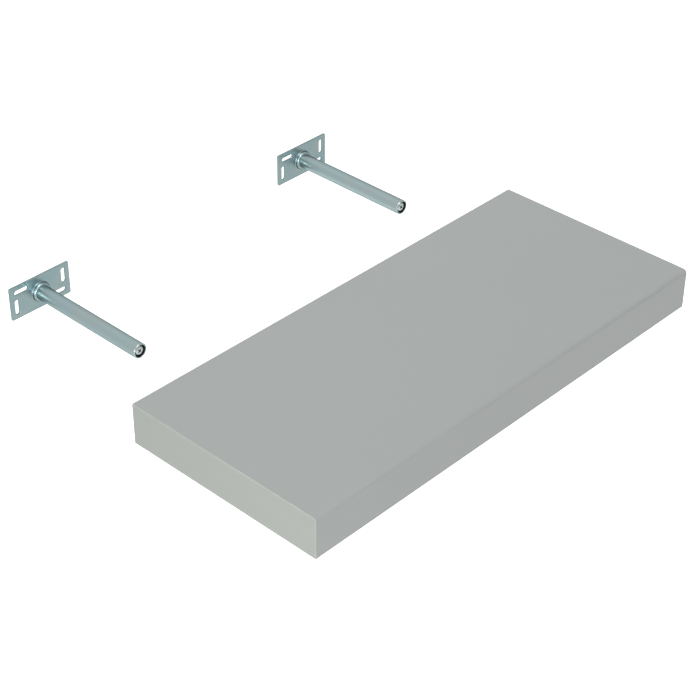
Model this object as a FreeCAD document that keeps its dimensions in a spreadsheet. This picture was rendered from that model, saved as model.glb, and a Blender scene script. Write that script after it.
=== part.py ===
import FreeCAD, Part
import math
import os
import re
from types import SimpleNamespace

import Sketcher
from FreeCAD import Rotation, Vector

# Floating wall shelf: a hollow-core board and the two concealed supports that it slides onto.
# Frame: X along the board, Y into the wall, Z up. The origin is on the wall, midway between the
# supports, at the height of their tubes. The board stands pulled off its supports, towards -Y.

# Driving dimensions in millimetres
DIMENSIONS = {
    # Board outside
    "board_length": 600.0,
    "board_depth": 260.0,
    "board_height": 50.0,
    "wall_gap": 264.0,  # wall to the pulled-off board's rear edge
    "nose_radius": 5.0,  # upper front edge
    "heel_radius": 1.0,  # lower front edge
    "wrap_thickness": 0.6,
    "band_thickness": 1.0,
    "band_edge_radius": 0.6,
    # Board inside
    "skin_thickness": 3.0,
    "front_rail_depth": 30.0,
    "rear_rail_depth": 40.0,
    "end_rail_width": 28.0,
    "block_width": 60.0,
    "cell_pitch": 24.0,  # honeycomb, across flats
    "cell_wall": 1.0,
    "core_clearance": 0.3,  # honeycomb to the rails and blocks
    # Wall plates
    "bracket_inset": 90.0,  # board's end to the tube's axis
    "plate_width": 84.0,
    "plate_thickness": 2.5,
    "plate_clearance": 0.4,  # seated plate to each skin
    "plate_corner_radius": 1.5,
    "plate_edge_radius": 0.4,
    "slot_length": 19.0,  # level slots; the upright ones fill the height that is left
    "slot_width": 5.8,
    "slot_side_margin": 5.6,  # a slot's long side to the plate's edge
    "level_end_margin": 6.5,  # a level slot's end to the plate's edge
    "upright_end_margin": 5.5,  # an upright slot's end to the plate's edge
    "slot_web": 6.1,  # metal between neighbouring slots
    "boss_height": 5.0,
    "boss_step": 3.0,  # boss beyond the tube
    "boss_shoulder_radius": 2.8,
    "boss_flare_radius": 1.0,
    "hollow_edge_radius": 1.0,
    # Support tubes
    "tube_diameter": 18.0,
    "tube_wall": 1.5,
    "tube_length": 165.0,
    "tube_rim_radius": 1.2,
    "tube_mouth_radius": 0.15,
    # Tip bushes, clamp screws and nuts
    "bush_length": 14.0,
    "bush_clearance": 0.05,
    "bush_sink": 0.8,  # bush below the tube's end
    "bush_mouth_chamfer": 0.5,
    "head_sink": 1.2,  # screw head's top below the tube's end
    "head_diameter": 12.0,
    "head_height": 4.6,
    "head_dome_radius": 2.4,
    "head_clearance": 0.3,
    "recess_span": 6.4,
    "recess_arm": 1.3,
    "recess_depth": 2.6,
    "recess_turn": 45.0,  # degrees
    "screw_diameter": 6.0,
    "screw_tail_gap": 0.3,  # screw's end to the wall
    "shank_clearance": 0.25,
    "thread_clearance": 0.05,
    "nut_flats": 10.0,
    "nut_height": 4.7,
    "nut_chamfer_slope": 2.0,  # chamfer's width for each millimetre of its height
    # Sliding fit of the board on its supports
    "bore_clearance": 0.3,
    "bore_end_gap": 6.0,  # seated tube's end to the bore's floor
    "boss_clearance": 1.0,  # seated boss to its counterbore
    "channel_gap": 2.5,  # seated plate to the rear rail
}

# Sizes that several pieces share, each before the ones that it is made of
SHARED = {
    "upright_length": "(plate_height - slot_side_margin - slot_width - slot_web - upright_end_margin)",
    "plate_height": "(inner_height - 2 * plate_clearance)",
    "bay_depth": "(blank_depth - front_rail_depth - rear_rail_depth - rail_setback)",
    "bore_depth": "(tip_depth + bore_end_gap)",
    "bearing_depth": "(tip_depth - head_sink - head_height)",
    "tip_depth": "(seat_depth + tube_length)",
    "seat_depth": "(plate_thickness + boss_height)",
    "inner_length": "(board_length - 2 * band_thickness)",
    "inner_height": "(blank_height - 2 * skin_thickness)",
    "blank_height": "(board_height - 2 * wrap_thickness)",
    "blank_depth": "(board_depth - wrap_thickness)",
    "rail_setback": "(plate_thickness + channel_gap)",
    "bracket_x": "(board_length / 2 - bracket_inset)",
    "boss_radius": "(tube_diameter / 2 + boss_step)",
    "tube_bore": "(tube_diameter / 2 - tube_wall)",
    "rod_bore": "(tube_diameter / 2 + bore_clearance)",
}

SIDES = {"left": -1, "right": 1}
SAME_PLACE = 1e-6
ROUGH = 1.0  # size of sketch geometry before its dimensions are applied
HEXAGON_SIDES = 6

doc = FreeCAD.newDocument("FloatingShelf")
sheet = doc.addObject("Spreadsheet::Sheet", "Sizes")
for row, (alias, size) in enumerate(DIMENSIONS.items(), start=1):
    sheet.set(f"A{row}", alias)
    sheet.set(f"B{row}", str(size))
    sheet.setAlias(f"B{row}", alias)
doc.recompute()

SIZE = SimpleNamespace(**{alias: sheet.get(alias) for alias in DIMENSIONS})
subparts = []


# Formulas, placing and naming


def formula(text):
    """Spell out the shared sizes in a formula and point each dimension at its cell."""
    for name, meaning in SHARED.items():
        text = re.sub(rf"\b{name}\b", meaning, text)
    aliases = "|".join(DIMENSIONS)
    return re.sub(rf"\b({aliases})\b", rf"{sheet.Name}.\1", text)


def bind(thing, **formulas):
    """Bind properties to formulas. A dot in a property's path is written as two underscores."""
    for path, text in formulas.items():
        thing.setExpression(path.replace("__", "."), formula(text))


def place(thing, x="0", y="0", z="0"):
    """Bind an object's position."""
    bind(thing, Placement__Base__x=x, Placement__Base__y=y, Placement__Base__z=z)


def subpart(thing, label):
    """Mark an object as a piece of the shelf, under its own label."""
    thing.Label = label
    subparts.append(thing)


# Sketches parallel to a body's XZ plane, whose normal points to the front, -Y


def make_body(name):
    """Start an empty body."""
    return doc.addObject("PartDesign::Body", name)


def make_sketch(body, name, depth="0"):
    """Start a sketch at a depth in front of the body's XZ plane."""
    sketch = body.newObject("Sketcher::SketchObject", f"{body.Name}_{name}")
    plane = next(item for item in body.Origin.OriginFeatures if item.Role == "XZ_Plane")
    sketch.AttachmentSupport = [(plane, "")]
    sketch.MapMode = "FlatFace"
    bind(sketch, AttachmentOffset__Base__z=depth)
    return sketch


def dimension(sketch, kind, text, *where):
    """Add a dimension to a sketch and bind it to a formula."""
    index = sketch.addConstraint(Sketcher.Constraint(kind, *where, ROUGH))
    label = f"{kind}{index}"
    sketch.renameConstraint(index, label)
    sketch.setExpression(f"Constraints.{label}", formula(text))


def add_point(sketch, x, z, side_x, side_z):
    """Add a construction point at distances from the origin, each towards a side."""
    point = sketch.addGeometry(Part.Point(Vector(side_x, side_z, 0)), True)
    for kind, side, text in (("DistanceX", side_x, x), ("DistanceY", side_z, z)):
        ends = (-1, 1, point, 1) if side > 0 else (point, 1, -1, 1)
        dimension(sketch, kind, text, *ends)
    return point


def add_circle(sketch, radius):
    """Add a circle round the sketch's origin."""
    circle = sketch.addGeometry(Part.Circle(Vector(0, 0, 0), Vector(0, 0, 1), ROUGH))
    sketch.addConstraint(Sketcher.Constraint("Coincident", circle, 3, -1, 1))
    dimension(sketch, "Radius", radius, circle)


def add_circle_pair(sketch, radius, x):
    """Add two circles on the sketch's X axis, one on each side of its origin."""
    for side in SIDES.values():
        circle = sketch.addGeometry(Part.Circle(Vector(side, 0, 0), Vector(0, 0, 1), ROUGH))
        ends = (-1, 1, circle, 3) if side > 0 else (circle, 3, -1, 1)
        dimension(sketch, "DistanceX", x, *ends)
        sketch.addConstraint(Sketcher.Constraint("PointOnObject", circle, 3, -1))
        dimension(sketch, "Radius", radius, circle)


def add_rectangle(sketch, width, height):
    """Add a rectangle centred on the sketch's origin."""
    corners = [Vector(-1, -1, 0), Vector(1, -1, 0), Vector(1, 1, 0), Vector(-1, 1, 0)]
    first = sketch.GeometryCount
    for index, corner in enumerate(corners):
        sketch.addGeometry(Part.LineSegment(corner, corners[(index + 1) % 4]))
    for index in range(4):
        line = first + index
        following = first + (index + 1) % 4
        sketch.addConstraint(Sketcher.Constraint("Coincident", line, 2, following, 1))
        sketch.addConstraint(Sketcher.Constraint("Vertical" if index % 2 else "Horizontal", line))
    sketch.addConstraint(Sketcher.Constraint("Symmetric", first, 1, first + 1, 2, -1, 1))
    dimension(sketch, "DistanceX", width, first, 1, first, 2)
    dimension(sketch, "DistanceY", height, first + 1, 1, first + 1, 2)


def add_slot(sketch, centre, length, width, upright):
    """Add a round-ended slot about a point of the sketch."""
    middle = sketch.getPoint(centre, 1)
    along = Vector(0, 1, 0) if upright else Vector(1, 0, 0)
    quarter = math.pi / 2
    heading = quarter if upright else 0.0
    start = Part.Circle(middle - along, Vector(0, 0, 1), ROUGH / 2)
    end = Part.Circle(middle + along, Vector(0, 0, 1), ROUGH / 2)
    near = sketch.addGeometry(Part.ArcOfCircle(start, heading + quarter, heading + 3 * quarter))
    far = sketch.addGeometry(Part.ArcOfCircle(end, heading - quarter, heading + quarter))
    for leaving, arriving in ((near, far), (far, near)):
        run = Part.LineSegment(sketch.getPoint(leaving, 2), sketch.getPoint(arriving, 1))
        line = sketch.addGeometry(run)
        sketch.addConstraint(Sketcher.Constraint("Tangent", leaving, 2, line, 1))
        sketch.addConstraint(Sketcher.Constraint("Tangent", line, 2, arriving, 1))
    sketch.addConstraint(Sketcher.Constraint("Vertical" if upright else "Horizontal", line))
    sketch.addConstraint(Sketcher.Constraint("Equal", near, far))
    sketch.addConstraint(Sketcher.Constraint("Symmetric", near, 3, far, 3, centre, 1))
    dimension(sketch, "Radius", f"{width} / 2", near)
    dimension(sketch, "DistanceY" if upright else "DistanceX", f"{length} - {width}", near, 3, far, 3)


# Features of a body


def pad(body, sketch, length, to_wall=False):
    """Grow a sketch towards the front, or towards the wall."""
    feature = body.newObject("PartDesign::Pad", f"{sketch.Name}_pad")
    feature.Profile = sketch
    feature.Reversed = to_wall
    bind(feature, Length=length)
    doc.recompute()


def pocket(body, sketch, length, to_front=False):
    """Cut a sketch towards the wall, or towards the front, and insist that it cuts."""
    before = body.Shape.Volume
    feature = body.newObject("PartDesign::Pocket", f"{sketch.Name}_pocket")
    feature.Profile = sketch
    feature.Reversed = to_front
    bind(feature, Length=length)
    doc.recompute()
    if body.Shape.Volume > before - SAME_PLACE:
        raise RuntimeError(f"{feature.Name} cuts nothing")


def dress_edges(body, kind, wanted, **sizes):
    """Fillet or chamfer those edges of a body that meet a test in its own coordinates."""
    base = body.Tip
    edges = [f"Edge{index}" for index, edge in enumerate(base.Shape.Edges, start=1) if wanted(edge)]
    if not edges:
        raise RuntimeError(f"{body.Name} has no edge to dress")
    feature = body.newObject(f"PartDesign::{kind}", f"{body.Name}_{kind}")
    feature.Base = (base, edges)
    bind(feature, **sizes)
    doc.recompute()


def on_depth(edge, depth):
    """Tell whether an edge lies flat at a depth in front of the body's XZ plane."""
    box = edge.BoundBox
    return max(abs(box.YMin + depth), abs(box.YMax + depth)) < SAME_PLACE


def is_ring(edge, depth, radius):
    """Tell whether an edge is a full circle of a radius, flat at a depth."""
    round_edge = edge.isClosed() and on_depth(edge, depth)
    return round_edge and abs(edge.Curve.Radius - radius) < SAME_PLACE


def runs_along(edge, axis):
    """Tell whether an edge is straight along an axis."""
    ends = [vertex.Point for vertex in edge.Vertexes]
    return len(ends) == 2 and (ends[1] - ends[0]).cross(axis).Length < SAME_PLACE


# Board


def board_profile(name, length, height, depth, nose, heel):
    """Body with the board's cross-section: a soft upper front edge and a small lower one."""
    body = make_body(name)
    outline = make_sketch(body, "outline")
    add_rectangle(outline, length, height)
    pad(body, outline, depth)
    for radius, side in ((nose, 1), (heel, -1)):

        def front_edge(edge):
            middle = edge.BoundBox.Center
            front = abs(middle.y - body.Shape.BoundBox.YMin) < SAME_PLACE
            return front and middle.z * side > 0 and runs_along(edge, Vector(1, 0, 0))

        dress_edges(body, "Fillet", front_edge, Radius=radius)
    place(body, y="-wall_gap")
    return body


def make_box(name, length, depth, height, x, y, z):
    """Box of formulas, placed by its lowest corner."""
    block = doc.addObject("Part::Box", name)
    bind(block, Length=length, Width=depth, Height=height)
    place(block, x, y, z)
    return block


def shaped_box(label, blank, *formulas):
    """Box cut to the board's rounded blank."""
    piece = doc.addObject("Part::Common", label)
    piece.Base = make_box(f"{label}_stock", *formulas)
    piece.Tool = blank
    subpart(piece, label)


def build_wrap_and_skins():
    """Decor foil, the two skins under it, and the front rail that shares their rounded nose."""
    inner_nose = "nose_radius - wrap_thickness"
    inner_heel = "heel_radius - wrap_thickness"
    outside = board_profile(
        "wrap_outside", "inner_length", "board_height", "board_depth", "nose_radius", "heel_radius"
    )
    blank = board_profile(
        "wrap_inside", "inner_length", "blank_height", "blank_depth", inner_nose, inner_heel
    )
    wrap = doc.addObject("Part::Cut", "decor_wrap")
    wrap.Base = outside
    wrap.Tool = blank
    subpart(wrap, "decor_wrap")
    left_end = "-inner_length / 2"
    front = "-wall_gap - blank_depth"
    skin = ("inner_length", "blank_depth", "skin_thickness", left_end, front)
    shaped_box("top_skin", blank, *skin, "inner_height / 2")
    shaped_box("bottom_skin", blank, *skin, "-blank_height / 2")
    rail = ("inner_length", "front_rail_depth", "inner_height", left_end, front, "-inner_height / 2")
    shaped_box("front_rail", blank, *rail)


def build_rear_rail():
    """Rail set in from the rear edge, bored for the tubes and counterbored for the bosses."""
    body = make_body("rear_rail")
    outline = make_sketch(body, "outline")
    add_rectangle(outline, "inner_length", "inner_height")
    pad(body, outline, "rear_rail_depth")
    bores = make_sketch(body, "bores")
    add_circle_pair(bores, "rod_bore", "bracket_x")
    pocket(body, bores, "rear_rail_depth", to_front=True)
    seats = make_sketch(body, "boss_seats")
    add_circle_pair(seats, "boss_radius + boss_clearance", "bracket_x")
    pocket(body, seats, "boss_height + boss_clearance - channel_gap", to_front=True)
    place(body, y="-wall_gap - rail_setback")
    subpart(body, "rear_rail")


def build_end(side):
    """End rail between the long rails, and the band that covers the board's end."""
    towards = SIDES[side]
    rail_x = "inner_length / 2 - end_rail_width" if towards > 0 else "-inner_length / 2"
    corner = (rail_x, "-wall_gap - rail_setback - rear_rail_depth - bay_depth", "-inner_height / 2")
    rail = make_box(f"{side}_end_rail", "end_rail_width", "bay_depth", "inner_height", *corner)
    subpart(rail, f"{side}_end_rail")
    band = board_profile(
        f"{side}_end_band", "band_thickness", "board_height", "board_depth", "nose_radius", "heel_radius"
    )
    outer_x = towards * SIZE.band_thickness / 2

    def on_outer_face(edge):
        box = edge.BoundBox
        return max(abs(box.XMin - outer_x), abs(box.XMax - outer_x)) < SAME_PLACE

    dress_edges(band, "Fillet", on_outer_face, Radius="band_edge_radius")
    place(band, x=f"{towards} * (board_length - band_thickness) / 2", y="-wall_gap")
    subpart(band, f"{side}_end_band")


def build_guide_block(side):
    """Block between the long rails with a blind bore for a tube."""
    body = make_body(f"{side}_guide_block")
    outline = make_sketch(body, "outline")
    add_rectangle(outline, "block_width", "inner_height")
    pad(body, outline, "bay_depth")
    bore = make_sketch(body, "bore")
    add_circle(bore, "rod_bore")
    pocket(body, bore, "bore_depth - rail_setback - rear_rail_depth", to_front=True)
    place(body, x=f"{SIDES[side]} * bracket_x", y="-wall_gap - rail_setback - rear_rail_depth")
    subpart(body, f"{side}_guide_block")


def hexagon(centre, flats):
    """Flat hexagon with two sides along Y."""
    reach = flats / math.sqrt(3)
    step = 2 * math.pi / HEXAGON_SIDES
    turns = [step * (index + 0.5) for index in range(HEXAGON_SIDES + 1)]
    corners = [centre + Vector(reach * math.cos(turn), reach * math.sin(turn), 0) for turn in turns]
    return Part.Face(Part.makePolygon(corners))


def honeycomb(width, depth, height):
    """Paper honeycomb that fills a bay, with whole and cut cells inside a closed border."""
    border = SIZE.cell_wall
    corner = Vector(-width / 2, -depth, 0)
    sheet_face = Part.makePlane(width, depth, corner)
    inset = Vector(border, border, 0)
    window = Part.makePlane(width - 2 * border, depth - 2 * border, corner + inset)
    row_step = SIZE.cell_pitch * math.sqrt(3) / 2
    columns = math.ceil(width / SIZE.cell_pitch / 2) + 1
    rows = math.ceil(depth / row_step / 2) + 1
    cells = []
    for row in range(-rows, rows + 1):
        shift = SIZE.cell_pitch / 2 * (row % 2)
        for column in range(-columns, columns + 1):
            centre = Vector(column * SIZE.cell_pitch + shift, row * row_step - depth / 2, 0)
            cell = hexagon(centre, SIZE.cell_pitch - SIZE.cell_wall).common(window)
            cells.extend(face for face in cell.Faces if face.Area > border * SIZE.cell_pitch)
    return sheet_face.cut(cells).extrude(Vector(0, 0, height))


def build_cores():
    """Honeycomb in the bays between the end rails and the guide blocks."""
    clear = SIZE.core_clearance
    bracket_x = SIZE.board_length / 2 - SIZE.bracket_inset
    blank_depth = SIZE.board_depth - SIZE.wrap_thickness
    setback = SIZE.plate_thickness + SIZE.channel_gap
    bay_depth = blank_depth - SIZE.front_rail_depth - SIZE.rear_rail_depth - setback
    height = SIZE.board_height - 2 * SIZE.wrap_thickness - 2 * SIZE.skin_thickness
    bay_end = SIZE.board_length / 2 - SIZE.band_thickness - SIZE.end_rail_width
    block_outer = bracket_x + SIZE.block_width / 2
    block_inner = bracket_x - SIZE.block_width / 2
    bays = {
        "left_core": (-bay_end, -block_outer),
        "middle_core": (-block_inner, block_inner),
        "right_core": (block_outer, bay_end),
    }
    rear = -SIZE.wall_gap - setback - SIZE.rear_rail_depth - clear
    for label, (low, high) in bays.items():
        core = doc.addObject("Part::Feature", label)
        core.Shape = honeycomb(high - low - 2 * clear, bay_depth - 2 * clear, height)
        core.Placement.Base = Vector((low + high) / 2, rear, -height / 2)
        subpart(core, label)


# Supports


def build_wall_plate(side):
    """Stamped plate with four slots and a drawn boss, hollow behind, that the tube stands on."""
    body = make_body(f"{side}_wall_plate")
    outline = make_sketch(body, "outline")
    add_rectangle(outline, "plate_width", "plate_height")
    pad(body, outline, "plate_thickness")
    dress_edges(
        body, "Fillet", lambda edge: runs_along(edge, Vector(0, 1, 0)), Radius="plate_corner_radius"
    )
    slots = make_sketch(body, "slots")
    level_x = "plate_width / 2 - level_end_margin - slot_length / 2"
    level_z = "plate_height / 2 - slot_side_margin - slot_width / 2"
    upright_x = "plate_width / 2 - slot_side_margin - slot_width / 2"
    upright_z = "plate_height / 2 - upright_end_margin - upright_length / 2"
    for half in SIDES.values():
        level = add_point(slots, level_x, level_z, half, -half)
        add_slot(slots, level, "slot_length", "slot_width", upright=False)
        upright = add_point(slots, upright_x, upright_z, half, half)
        add_slot(slots, upright, "upright_length", "slot_width", upright=True)
    pocket(body, slots, "plate_thickness", to_front=True)
    front = SIZE.plate_thickness
    dress_edges(body, "Fillet", lambda edge: on_depth(edge, front), Radius="plate_edge_radius")
    boss = make_sketch(body, "boss")
    add_circle(boss, "boss_radius")
    pad(body, boss, "seat_depth")
    boss_radius = SIZE.tube_diameter / 2 + SIZE.boss_step
    top = front + SIZE.boss_height
    dress_edges(body, "Fillet", lambda edge: is_ring(edge, front, boss_radius), Radius="boss_flare_radius")
    dress_edges(body, "Fillet", lambda edge: is_ring(edge, top, boss_radius), Radius="boss_shoulder_radius")
    hollow = make_sketch(body, "hollow")
    add_circle(hollow, "boss_radius - plate_thickness")
    pocket(body, hollow, "boss_height", to_front=True)
    mouth_radius = boss_radius - SIZE.plate_thickness
    dress_edges(body, "Fillet", lambda edge: is_ring(edge, 0.0, mouth_radius), Radius="hollow_edge_radius")
    hole = make_sketch(body, "screw_hole")
    add_circle(hole, "screw_diameter / 2 + shank_clearance")
    pocket(body, hole, "seat_depth", to_front=True)
    place(body, x=f"{SIDES[side]} * bracket_x")
    subpart(body, f"{side}_wall_plate")


def build_support_tube(side):
    """Round tube that stands on the boss, with a rounded rim at its open end."""
    body = make_body(f"{side}_support_tube")
    section = make_sketch(body, "section")
    add_circle(section, "tube_diameter / 2")
    add_circle(section, "tube_bore")
    pad(body, section, "tube_length")
    end = SIZE.tube_length
    radius = SIZE.tube_diameter / 2
    bore = radius - SIZE.tube_wall
    dress_edges(body, "Fillet", lambda edge: is_ring(edge, end, radius), Radius="tube_rim_radius")
    dress_edges(body, "Fillet", lambda edge: is_ring(edge, end, bore), Radius="tube_mouth_radius")
    place(body, x=f"{SIDES[side]} * bracket_x", y="-seat_depth")
    subpart(body, f"{side}_support_tube")


def build_tip_bush(side):
    """Plastic bush in the tube's open end, with a cup for the screw's head."""
    body = make_body(f"{side}_tip_bush")
    outline = make_sketch(body, "outline")
    add_circle(outline, "tube_bore - bush_clearance")
    pad(body, outline, "bush_length", to_wall=True)
    cup = make_sketch(body, "cup")
    add_circle(cup, "head_diameter / 2 + head_clearance")
    pocket(body, cup, "head_sink + head_height - bush_sink")
    cup_radius = SIZE.head_diameter / 2 + SIZE.head_clearance
    dress_edges(body, "Chamfer", lambda edge: is_ring(edge, 0.0, cup_radius), Size="bush_mouth_chamfer")
    hole = make_sketch(body, "screw_hole")
    add_circle(hole, "screw_diameter / 2 + shank_clearance")
    pocket(body, hole, "bush_length")
    place(body, x=f"{SIDES[side]} * bracket_x", y="bush_sink - tip_depth")
    subpart(body, f"{side}_tip_bush")


def build_clamp_screw(side):
    """Long machine screw with a domed, cross-recessed head, from the bush to the nut."""
    body = make_body(f"{side}_clamp_screw")
    head = make_sketch(body, "head")
    add_circle(head, "head_diameter / 2")
    pad(body, head, "head_height")
    dress_edges(
        body, "Fillet", lambda edge: on_depth(edge, SIZE.head_height), Radius="head_dome_radius"
    )
    for arm, (width, height) in enumerate((("recess_span", "recess_arm"), ("recess_arm", "recess_span"))):
        recess = make_sketch(body, f"recess{arm}", depth="head_height")
        add_rectangle(recess, width, height)
        pocket(body, recess, "recess_depth")
    shank = make_sketch(body, "shank")
    add_circle(shank, "screw_diameter / 2")
    pad(body, shank, "bearing_depth - screw_tail_gap", to_wall=True)
    body.Placement.Rotation = Rotation(Vector(0, 1, 0), SIZE.recess_turn)
    place(body, x=f"{SIDES[side]} * bracket_x", y="-bearing_depth")
    subpart(body, f"{side}_clamp_screw")


def build_clamp_nut(side):
    """Hexagon nut in the hollow behind the boss, chamfered on its outer face."""
    label = f"{side}_clamp_nut"
    prism = doc.addObject("Part::Prism", f"{label}_prism")
    prism.Polygon = HEXAGON_SIDES
    bind(prism, Circumradius="nut_flats / sqrt(3)", Height="nut_height")
    cone = doc.addObject("Part::Cone", f"{label}_cone")
    wide_end = "nut_flats / 2 + nut_chamfer_slope * nut_height"
    bind(cone, Radius1="nut_flats / 2", Radius2=wide_end, Height="nut_height")
    thread = doc.addObject("Part::Cylinder", f"{label}_thread")
    bind(thread, Radius="screw_diameter / 2 + thread_clearance", Height="nut_height")
    blank = doc.addObject("Part::Common", f"{label}_blank")
    blank.Base = prism
    blank.Tool = cone
    nut = doc.addObject("Part::Cut", label)
    nut.Base = blank
    nut.Tool = thread
    nut.Placement.Rotation = Rotation(Vector(1, 0, 0), 90)
    place(nut, x=f"{SIDES[side]} * bracket_x", y="nut_height - boss_height")
    subpart(nut, label)


# Build, check and write


def check_document():
    """Refuse a document with a failed object or a piece without a valid solid."""
    doc.recompute()
    for thing in doc.Objects:
        if {"Invalid", "Error"} & set(thing.State):
            raise RuntimeError(f"{thing.Label}: {thing.State}")
    for piece in subparts:
        if piece.Shape.isNull() or not piece.Shape.isValid() or len(piece.Shape.Solids) != 1:
            raise RuntimeError(f"{piece.Label} is not one valid solid")


build_wrap_and_skins()
build_rear_rail()
build_cores()
for side in SIDES:
    build_end(side)
    build_guide_block(side)
    build_wall_plate(side)
    build_support_tube(side)
    build_tip_bush(side)
    build_clamp_screw(side)
    build_clamp_nut(side)
check_document()

os.makedirs("parts", exist_ok=True)
for piece in subparts:
    piece.Shape.exportStep(f"parts/{piece.Label}.step")
    box = piece.Shape.BoundBox
    print(f"{piece.Label}: {box.XLength:.2f} x {box.YLength:.2f} x {box.ZLength:.2f} mm")
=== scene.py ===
import logging
import math
from dataclasses import dataclass, field
from enum import Enum
from typing import Any, Iterable, Sequence

import bmesh
import bpy
from bmesh.types import BMesh, BMVert
from bpy.types import Material, Node, NodeOutputs, NodeSocket, NodeTree, Object
from mathutils import Matrix, Vector


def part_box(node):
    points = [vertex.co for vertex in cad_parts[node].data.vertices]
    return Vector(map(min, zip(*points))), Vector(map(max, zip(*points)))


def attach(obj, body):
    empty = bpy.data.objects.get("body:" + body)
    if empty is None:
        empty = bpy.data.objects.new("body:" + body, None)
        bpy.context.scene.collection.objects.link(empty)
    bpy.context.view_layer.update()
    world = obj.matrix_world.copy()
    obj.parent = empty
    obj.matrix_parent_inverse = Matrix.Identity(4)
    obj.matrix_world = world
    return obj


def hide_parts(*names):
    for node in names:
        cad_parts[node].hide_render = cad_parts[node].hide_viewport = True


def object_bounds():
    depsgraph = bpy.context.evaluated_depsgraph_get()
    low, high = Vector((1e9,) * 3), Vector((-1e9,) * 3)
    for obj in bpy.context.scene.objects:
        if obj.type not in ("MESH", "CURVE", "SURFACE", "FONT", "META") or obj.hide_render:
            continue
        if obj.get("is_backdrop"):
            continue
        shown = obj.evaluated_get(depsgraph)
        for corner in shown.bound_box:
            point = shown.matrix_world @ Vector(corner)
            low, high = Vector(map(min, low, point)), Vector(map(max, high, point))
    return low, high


# Looks of a floating wall shelf: a decor-wrapped board pulled off its two zinc-plated supports.
# Frame: X along the board, Y into the wall, Z up, in metres.

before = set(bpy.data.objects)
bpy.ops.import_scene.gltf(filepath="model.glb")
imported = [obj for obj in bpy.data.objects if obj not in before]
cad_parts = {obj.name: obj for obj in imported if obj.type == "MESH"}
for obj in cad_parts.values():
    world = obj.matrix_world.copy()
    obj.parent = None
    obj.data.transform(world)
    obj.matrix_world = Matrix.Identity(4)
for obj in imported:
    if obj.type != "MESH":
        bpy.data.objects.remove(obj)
CAD_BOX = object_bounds()

BOARD_BODY = "shelf"
BRACKET_BODY = "wall_brackets"
MM = 0.001
SAME_POINT = 0.001 * MM
BESIDE = 0.3 * MM  # flat strip kept beside a rounding, so that it doesn't shade the flat
STRIP_ROOM = 3 * BESIDE  # shortest flat that gets such strips
QUARTER = math.pi / 2
ARC_STEP = math.radians(9)
FEWEST_STEPS = 3  # round a rounding
SHARP = math.radians(25)  # edges that turn by more stay crisp
HEX_SIDES = 6
WHITE = "#FFFFFF"
PAINTED_LIGHT = "mark"  # attribute of points that get painted light, such as a painted highlight on a band's edge and painted shade in a screw's recess
COLOUR_A, COLOUR_B, MIXED_COLOUR = 6, 7, 2  # places of the mix node's sockets for colours

logging.basicConfig(level=logging.INFO, format="%(levelname)s %(message)s")
log = logging.getLogger("floating_shelf")

Feeds = dict[str | int, Any]
Pair = tuple[float, float]
Corner = tuple[float, float, float]  # two coordinates and the radius of the rounding there
Ring = list[BMVert]


class Side(Enum):
    """The two supports, and the board's ends in front of them."""

    LEFT = "left"
    RIGHT = "right"

    @property
    def towards(self) -> int:
        """Sign of X on this side."""
        return -1 if self is Side.LEFT else 1

    def of(self, piece: str) -> str:
        """Name of this side's own piece."""
        return f"{self.value}_{piece}"


class Texture(Enum):
    """What the features of a pattern's layer look like."""

    CLOUDS = "ShaderNodeTexNoise"
    FLAKES = "ShaderNodeTexVoronoi"


class Follows(Enum):
    """What a pattern's layer is laid out along."""

    AXES = "Object"
    SURFACE = "UV"


class Lights(Enum):
    """Which surfaces a lamp lights."""

    ALL = "all"
    GLOSS = "gloss"
    MATT = "matt"


# Nodes


def linear(colour: str) -> tuple[float, float, float, float]:
    """Turn an sRGB hex colour into linear RGBA.

    Args:
        colour: Six hex digits after a hash sign.

    Returns:
        Linear red, green and blue, and an alpha of one.
    """
    parts = [int(colour[start : start + 2], 16) / 255 for start in (1, 3, 5)]
    red, green, blue = (c / 12.92 if c <= 0.04045 else ((c + 0.055) / 1.055) ** 2.4 for c in parts)
    return red, green, blue, 1.0


def add_node(tree: NodeTree, kind: str, feeds: Feeds | None = None, **settings: Any) -> NodeOutputs:
    """Add a node, set its options, and set or link its inputs.

    Args:
        tree: Tree that takes the node.
        kind: The node's type.
        feeds: For each input, by name or place, a value, an output to link from, or several outputs.
        settings: Options of the node itself.

    Returns:
        The new node's outputs.
    """
    node = tree.nodes.new(kind)
    for option, value in settings.items():
        setattr(node, option, value)
    for place, value in (feeds or {}).items():
        for source in value if isinstance(value, list) else [value]:
            if isinstance(source, NodeSocket):
                tree.links.new(source, node.inputs[place])
            else:
                node.inputs[place].default_value = source
    return node.outputs


def start_tree(name: str, inputs: dict[str, Sequence[str]]) -> tuple[NodeTree, dict[str, NodeSocket]]:
    """Start a Geometry Nodes tree with named inputs, the last of them for its material.

    Args:
        name: Name of the tree.
        inputs: Names of the other inputs, by the type of their sockets.

    Returns:
        The tree, and its inputs by name.
    """
    tree = bpy.data.node_groups.new(name, "GeometryNodeTree")
    tree.interface.new_socket("Geometry", in_out="OUTPUT", socket_type="NodeSocketGeometry")
    for kind, titles in {**inputs, "NodeSocketMaterial": ["Material"]}.items():
        for title in titles:
            tree.interface.new_socket(title, in_out="INPUT", socket_type=kind)
    return tree, dict(add_node(tree, "NodeGroupInput").items())


def end_tree(tree: NodeTree, shape: NodeSocket, material: NodeSocket) -> None:
    """Make a tree's shape real, give it its material and hand it out.

    Args:
        tree: The tree.
        shape: Output that holds the shape.
        material: Output that holds the material.
    """
    real = add_node(tree, "GeometryNodeRealizeInstances", {"Geometry": shape})[0]
    dressed = add_node(tree, "GeometryNodeSetMaterial", {"Geometry": real, "Material": material})[0]
    add_node(tree, "NodeGroupOutput", {"Geometry": dressed})


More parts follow.
